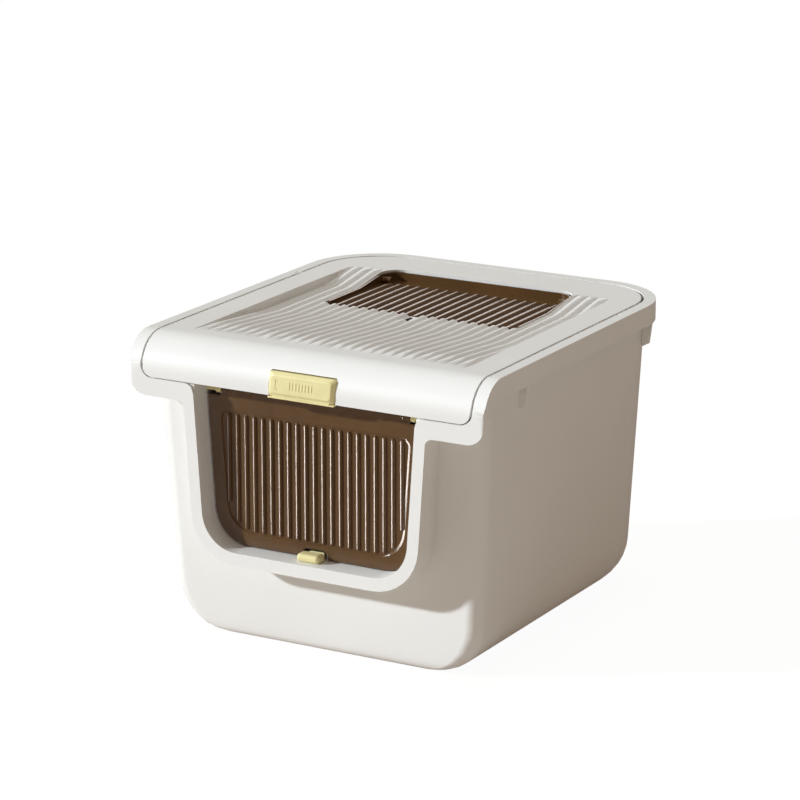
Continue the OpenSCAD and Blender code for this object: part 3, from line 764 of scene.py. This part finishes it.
class LITTERBOX_OT_door(bpy.types.Operator):
    """Swing door: frame with a sunken, ridged panel"""

    bl_idname = "litterbox.door"
    bl_label = "Swing door"

    def execute(self, context):
        meshes = [
            slab([self.rim(), self.panel(0.0)], DOOR_DEPTH, DOOR_DEPTH + DOOR_THICK, 1.1, seen_from_front),
            slab([self.panel(-1.6)], DOOR_DEPTH + PANEL_SUNK, DOOR_DEPTH + PANEL_SUNK + PANEL_THICK, 0.3,
                 seen_from_front),
            self.slope(),
            self.ridges(),
        ]
        for side in (-1, 1):
            meshes.append(turned(
                [(side * (EAR_X - EAR_LENGTH + along), radius) for along, radius in (
                    (0.0, 0.01), (0.0, EAR_RADIUS - 0.9), (0.3, EAR_RADIUS - 0.3), (0.9, EAR_RADIUS),
                    (EAR_LENGTH - 0.9, EAR_RADIUS), (EAR_LENGTH - 0.3, EAR_RADIUS - 0.3),
                    (EAR_LENGTH, EAR_RADIUS - 0.9), (EAR_LENGTH, EAR_BORE), (2.0, EAR_BORE), (2.0, 0.01))],
                across(HINGE_DEPTH, HINGE_Z)))
        dress(joined("swing_door", meshes), "door", "smoke", "front_door")
        return {"FINISHED"}

    def rim(self):
        """Outline of the door, with the notches for the hinge pins and the lock"""
        return outline(mirrored([
            (EAR_X, DOOR_TOP, 2.0), (EAR_X, NOTCH_Z, 1.5), (DOOR_TOP_X, NOTCH_Z, 2.5),
            (DOOR_LOW_X, DOOR_LOW, DOOR_CORNER), (GRIP_NOTCH_X, DOOR_LOW, 1.2),
            (GRIP_NOTCH_X, GRIP_NOTCH_Z, 6.0)]), 14)

    def panel(self, inset):
        """Outline of the sunken panel"""
        (top_x, top_z, top_r), (low_x, low_z, low_r) = PANEL_TOP, PANEL_LOW
        half = [(top_x - inset, top_z - inset, top_r - inset), (low_x - inset, low_z + inset, low_r - inset)]
        return outline(mirrored(half), 14)

    def slope(self):
        """Sloping wall between the frame and the panel"""
        front = DOOR_DEPTH + 0.7
        sunk = DOOR_DEPTH + PANEL_SUNK
        return skin([
            [seen_from_front(x, z, depth) for x, z in self.panel(inset)]
            for inset, depth in ((-0.7, front), (1.6, sunk), (-0.7, sunk + 0.3))], closed=True)

    def edge(self, x):
        """Height of the panel's lower edge at one ridge"""
        (top_x, top_z, _), (low_x, low_z, radius) = PANEL_TOP, PANEL_LOW
        along = max(0.0, abs(x) - low_x + radius)
        spare = abs(x) + RIDGE_RADIUS - low_x
        return max(low_z + radius - math.sqrt(radius ** 2 - along ** 2),
                   low_z + spare * (top_z - low_z) / (top_x - low_x))

    def ridges(self):
        """Round-ended ridges over the panel, cut flat just inside the door's back"""
        depth = DOOR_DEPTH + PANEL_SUNK + RIDGE_SUNK
        bars = []
        for index in range(RIDGES):
            x = (index - (RIDGES - 1) / 2) * RIDGE_PITCH
            bars.append(((x, depth, self.edge(x) + RIDGE_GAP), (x, depth, PANEL_TOP[1] - RIDGE_GAP)))
        behind = seen_from_front(OUT_OF_REACH, OUT_OF_REACH, DOOR_DEPTH + DOOR_THICK - RIDGE_BURIED)
        guide = bar_guide(bars, RIDGE_RADIUS)
        return swept_bars().grow(guide, "ridges", "smoke", Sides=RIDGE_SIDES, Farthest=tuple(behind))


class LITTERBOX_OT_flap(bpy.types.Operator):
    """Top flap"""

    bl_idname = "litterbox.flap"
    bl_label = "Top flap"

    def execute(self, context):
        refined("top_flap", "entry_flap")
        return {"FINISHED"}


class LITTERBOX_OT_button(bpy.types.Operator):
    """Push button with its grip bars, hook, plate and pegs"""

    bl_idname = "litterbox.button"
    bl_label = "Push button"

    def execute(self, context):
        w = BUTTON_WIDE / 2
        plate_back = PLATE_DEPTH + PLATE_THICK
        meshes = [
            self.cap(),
            self.grip_bars(),
            bar((-w, FOOT_LOW, -FOOT_DEPTH), (w, FOOT_HIGH, FOOT_DEPTH), 0.6),
            bar((-w + 6, FOOT_HIGH - 0.6, -2.6), (w - 6, BUTTON_LOW + 3, FOOT_DEPTH), 0.3),
            bar((-w + 4, STEM_LOW, 1), (w - 4, STEM_HIGH, PLATE_DEPTH + 0.5), 0.4),
            bar((-w - 4, PLATE_LOW, PLATE_DEPTH), (w + 4, PLATE_HIGH, plate_back), 0.4),
            bar((-HOOK_X, STEM_LOW, PLATE_DEPTH + 1), (HOOK_X, HOOK_HIGH, HOOK_DEPTH), 0.3),
            bar((-HOOK_X, HOOK_LOW, HOOK_DEPTH - 2.5), (HOOK_X, HOOK_HIGH, HOOK_DEPTH), 0.3),
            bar((-HOOK_X, HOOK_LOW, HOOK_TIP), (HOOK_X, HOOK_LOW + 2.5, HOOK_DEPTH - 1.5), 0.3),
        ]
        for x in (-SPRING_X, SPRING_X):
            place = inwards(x, SPRING_Z)
            meshes.append(rod(PLATE_DEPTH + 1, PLATE_DEPTH + 1 + PEG_LENGTH, PEG_RADIUS, place))
        dress(joined("button", meshes), "button", "accent", "push_button")
        return {"FINISHED"}

    def seat(self, u, v, depth):
        """The button leans back: x, height and depth on its own face, as a point of the part's frame"""
        cosine, sine = math.cos(BUTTON_TILT), math.sin(BUTTON_TILT)
        return seen_from_front(
            u, BUTTON_LOW - depth * sine + v * cosine,
            BUTTON_BEVEL - BUTTON_PROUD + depth * cosine + v * sine)

    def face(self, inset, radius):
        w, h = BUTTON_WIDE / 2 - inset, BUTTON_HIGH - inset
        return outline(mirrored([(w, h, radius), (w, inset, radius)]), 6)

    def cap(self):
        """Block whose front edges are bevelled, with the bevel's own edges rounded"""
        bevel = BUTTON_BEVEL
        levels = [(0.0, BUTTON_BACK, 3.6), (0.0, 0.9, 3.6), (0.12, 0.35, 3.7), (0.45, -0.15, 3.9),
                  (0.9, -0.6, 4.0), (bevel - 1.2, -bevel + 1.3, 4.2), (bevel - 0.5, -bevel + 0.6, 4.2),
                  (bevel + 0.35, -bevel + 0.16, 4.0), (bevel + 1.4, -bevel, 3.6)]
        return skin([
            [self.seat(u, v, depth) for u, v in self.face(inset, radius)]
            for inset, depth, radius in levels])

    def mark(self, left, right, low, high, edge):
        """Low raised bar on the button's face"""
        front = -BUTTON_BEVEL
        return bar((left, low, front - 0.5), (right, high, front + 0.5), edge, self.seat)

    def grip_bars(self):
        """Short raised bars for the finger, and a bracket at the left, in place of any lettering"""
        middle = BUTTON_HIGH / 2
        arm = BRACKET_HALF - 0.7
        pieces = [
            self.mark(BRACKET_X, BRACKET_X + 3.5, middle - arm - 0.7, middle - arm + 0.7, 0.25),
            self.mark(BRACKET_X, BRACKET_X + 3.5, middle + arm - 0.7, middle + arm + 0.7, 0.25),
            self.mark(BRACKET_X, BRACKET_X + 1.4, middle - BRACKET_HALF, middle + BRACKET_HALF, 0.25),
        ]
        one = joined("grip_bar", [self.mark(-0.8, 0.8, middle - GRIP_HALF, middle + GRIP_HALF, 0.3)])
        guide = point_guide([(place * MM, 0.0, 0.0) for place in range(-14, 15, 4)])
        pieces.append(repeated().grow(guide, "grip_bars", "accent", Piece=one))
        bpy.data.objects.remove(one)
        whole = joined("bars", pieces)
        mesh = whole.data
        bpy.data.objects.remove(whole)
        return mesh


class LITTERBOX_OT_catches(bpy.types.Operator):
    """Door pins and sill lock"""

    bl_idname = "litterbox.catches"
    bl_label = "Pins and lock"

    def execute(self, context):
        refined("door_pin_left", "door_pin_l")
        refined("door_pin_right", "door_pin_r")
        x = LOCK_STEM_X
        meshes = [
            bar((-LOCK_X, LOCK_LOW, LOCK_FRONT), (LOCK_X, LOCK_TOP, SLOT_FRONT), 3.9, segments=8),
            bar((-LOCK_X + 1, LOCK_LOW, LOCK_FRONT + 2.5), (LOCK_X - 1, SLOT_Z, SLOT_FRONT), 0.5),
            bar((-x, LOCK_STEM_LOW, LOCK_STEM_FRONT), (x, LOCK_LOW + 0.7, LOCK_STEM_BACK), 0.4),
            bar((-x, LOCK_LOW, LOCK_STEM_FRONT), (x, SLOT_Z, LOCK_BACK), 0.4),
            bar((-x, LOCK_LOW, SLOT_BACK), (x, LOCK_TOP - HEEL_DROP, LOCK_BACK), 1.6, segments=4),
        ]
        dress(joined("sill_lock", meshes, angle=50.0), "lock", "accent", "door_lock")
        return {"FINISHED"}


class LITTERBOX_OT_hardware(bpy.types.Operator):
    """Springs, screws and hidden pins"""

    bl_idname = "litterbox.hardware"
    bl_label = "Hardware"

    def execute(self, context):
        self.springs()
        for node in ("latch_cover_screws", "door_lock_clip", "flap_pin_left", "flap_pin_right"):
            refined(node, f"{node}_metal")
        return {"FINISHED"}

    def springs(self):
        start, end = PLATE_DEPTH + PLATE_THICK + SPRING_PLAY, COVER_DEPTH - SPRING_PLAY
        length = end - start - 2 * WIRE
        tree = coils()
        for side, x in (("left", -SPRING_X), ("right", SPRING_X)):
            guide = point_guide([seen_from_front(x, SPRING_Z, start + WIRE)])
            mesh = tree.grow(guide, f"spring_{side}", "steel", Turns=float(SPRING_TURNS),
                             Radius=SPRING_RADIUS * MM, Length=length * MM, Wire=WIRE * MM)
            thing = joined(f"spring_{side}", [mesh], angle=60.0)
            dress(thing, "lid", "steel", f"latch_spring_{side}")
            anchor = seen_from_front(x, SPRING_Z, end)
            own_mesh(thing)


class LITTERBOX_OT_stage(bpy.types.Operator):
    """Floor, lamp, surroundings and camera"""

    bl_idname = "litterbox.stage"
    bl_label = "Stage"

    def execute(self, context):
        settings = context.scene.litter_box_stage
        self.floor(settings)
        self.world(settings)
        self.sun(settings)
        self.sky(settings)
        self.streaks(settings)
        self.camera(settings)
        return {"FINISHED"}

    def floor(self, settings):
        half = FLOOR_HALF
        corners = [(-half, -half, 0), (half, -half, 0), (half, half, 0), (-half, half, 0)]
        mesh = bpy.data.meshes.new("floor")
        mesh.from_pydata(corners, [], [(0, 1, 2, 3)])
        plane = add_object(mesh, "floor")
        finish = Finish("floor_paper")
        finish.set(base_color=finish.tint(tuple(settings.floor_colour), finish.noise(3.0, 3.0), 0.99, 1.0))
        finish.surface.inputs["Roughness"].default_value = 0.9
        finish.surface.inputs["Specular IOR Level"].default_value = 0.0
        white = finish.node("ShaderNodeEmission", values={"Color": (1, 1, 1, 1), "Strength": FLOOR_WHITE})
        path = finish.nodes.new("ShaderNodeLightPath")
        seen = Wire(finish, path.outputs["Is Camera Ray"]) * (1.0 - settings.floor_shadow)
        mixed = finish.node("ShaderNodeMixShader", values={
            0: seen, 1: Wire(finish, finish.surface.outputs[0]), 2: white})
        finish.links.new(mixed.socket, finish.out.inputs["Surface"])
        mesh.materials.append(finish.material)
        plane.visible_glossy = False

    def world(self, settings):
        world = bpy.data.worlds.new("studio")
        world.use_nodes = True
        bpy.context.scene.world = world
        nodes, links = world.node_tree.nodes, world.node_tree.links
        nodes.clear()
        out = nodes.new("ShaderNodeOutputWorld")
        fill = nodes.new("ShaderNodeBackground")
        fill.inputs["Color"].default_value = (*settings.fill_colour, 1)
        fill.inputs["Strength"].default_value = 1.0
        backdrop = nodes.new("ShaderNodeBackground")
        backdrop.inputs["Color"].default_value = (1, 1, 1, 1)
        backdrop.inputs["Strength"].default_value = 1.0
        path = nodes.new("ShaderNodeLightPath")
        mixed = nodes.new("ShaderNodeMixShader")
        links.new(path.outputs["Is Camera Ray"], mixed.inputs[0])
        links.new(fill.outputs[0], mixed.inputs[1])
        links.new(backdrop.outputs[0], mixed.inputs[2])
        links.new(mixed.outputs[0], out.inputs["Surface"])

    def sun(self, settings):
        """One hard lamp from the left of the front, low, as the band's shadow on the tub shows"""
        self.far_lamp("key", settings.sun_strength, settings.sun_colour, settings.sun_angle, SUN_TRAVEL)

    def sky(self, settings):
        """Soft light from straight above, which lifts the lid's top and the sill"""
        self.far_lamp("sky", settings.sky_strength, settings.sky_colour, SKY_SIZE, SKY_TRAVEL)

    def streaks(self, settings):
        """Wide far discs that only gloss shows: one at the left for the door, one behind for the flap"""
        self.disc("swing_door", settings.streak_level, settings.streak_size,
                  settings.streak_azimuth, settings.streak_height)
        self.disc("entry_flap", settings.streak_level * FLAP_STREAKS, FLAP_STREAK_SIZE,
                  FLAP_STREAK_AZIMUTH, FLAP_STREAK_HEIGHT)

    def disc(self, piece, level, across, azimuth, height):
        """A far disc left of the front by its azimuth, which lights the gloss of one piece alone"""
        flat = math.cos(height)
        travel = (math.sin(azimuth) * flat, math.cos(azimuth) * flat, -math.sin(height))
        strength = level * math.pi * math.sin(across / 2) ** 2
        lamp = self.far_lamp(f"streaks_{piece}", strength, STREAK_COLOUR, across, travel)
        lamp.visible_camera = False
        lamp.visible_diffuse = False
        lamp.visible_transmission = False
        for role in ("receiver", "blocker"):
            linked = bpy.data.collections.new(f"{piece}_{role}")
            linked.objects.link(bpy.data.objects[piece])
            setattr(lamp.light_linking, f"{role}_collection", linked)

    def far_lamp(self, name, strength, colour, angle, travel):
        data = bpy.data.lights.new(name, "SUN")
        data.energy = strength
        data.angle = angle
        data.color = colour
        lamp = bpy.data.objects.new(name, data)
        lamp.rotation_mode = "QUATERNION"
        lamp.rotation_quaternion = Vector(travel).to_track_quat("-Z", "Y")
        bpy.context.scene.collection.objects.link(lamp)
        return lamp

    def camera(self, settings):
        data = bpy.data.cameras.new("camera")
        data.lens = settings.lens
        data.sensor_width = SENSOR_WIDTH
        data.clip_start = NEAREST
        data.clip_end = FARTHEST
        camera = bpy.data.objects.new("camera", data)
        place = Vector(settings.camera_place)
        camera.location = place
        camera.rotation_mode = "QUATERNION"
        camera.rotation_quaternion = (Vector(settings.camera_aim) - place).to_track_quat("-Z", "Y")
        bpy.context.scene.collection.objects.link(camera)
        bpy.context.scene.camera = camera
        bpy.context.scene.view_settings.view_transform = "Standard"


class LITTERBOX_PT_panel(bpy.types.Panel):
    """Sidebar panel with the steps and settings"""

    bl_idname = "LITTERBOX_PT_panel"
    bl_label = "Litter Box"
    bl_space_type = "VIEW_3D"
    bl_region_type = "UI"
    bl_category = "Litter Box"

    def draw(self, context):
        column = self.layout.column()
        for operator in STEPS:
            column.operator(operator.bl_idname)
        for group in (context.scene.litter_box_finish, context.scene.litter_box_stage):
            for name in group.__annotations__:
                column.prop(group, name)


GROUPS = {
    "litter_box_finish": LitterBoxFinish,
    "litter_box_stage": LitterBoxStage,
}
STEPS = (
    LITTERBOX_OT_shell,
    LITTERBOX_OT_door,
    LITTERBOX_OT_flap,
    LITTERBOX_OT_button,
    LITTERBOX_OT_catches,
    LITTERBOX_OT_hardware,
    LITTERBOX_OT_stage,
)


def register():
    for cls in (*GROUPS.values(), *STEPS, LITTERBOX_PT_panel):
        bpy.utils.register_class(cls)
    for name, cls in GROUPS.items():
        setattr(bpy.types.Scene, name, PointerProperty(type=cls))


def unregister():
    for name in GROUPS:
        delattr(bpy.types.Scene, name)
    for cls in (LITTERBOX_PT_panel, *reversed(STEPS), *GROUPS.values()):
        bpy.utils.unregister_class(cls)


def main():
    register()
    for operator in STEPS:
        group, name = operator.bl_idname.split(".")
        getattr(getattr(bpy.ops, group), name)()


if __name__ == "__main__":
    main()
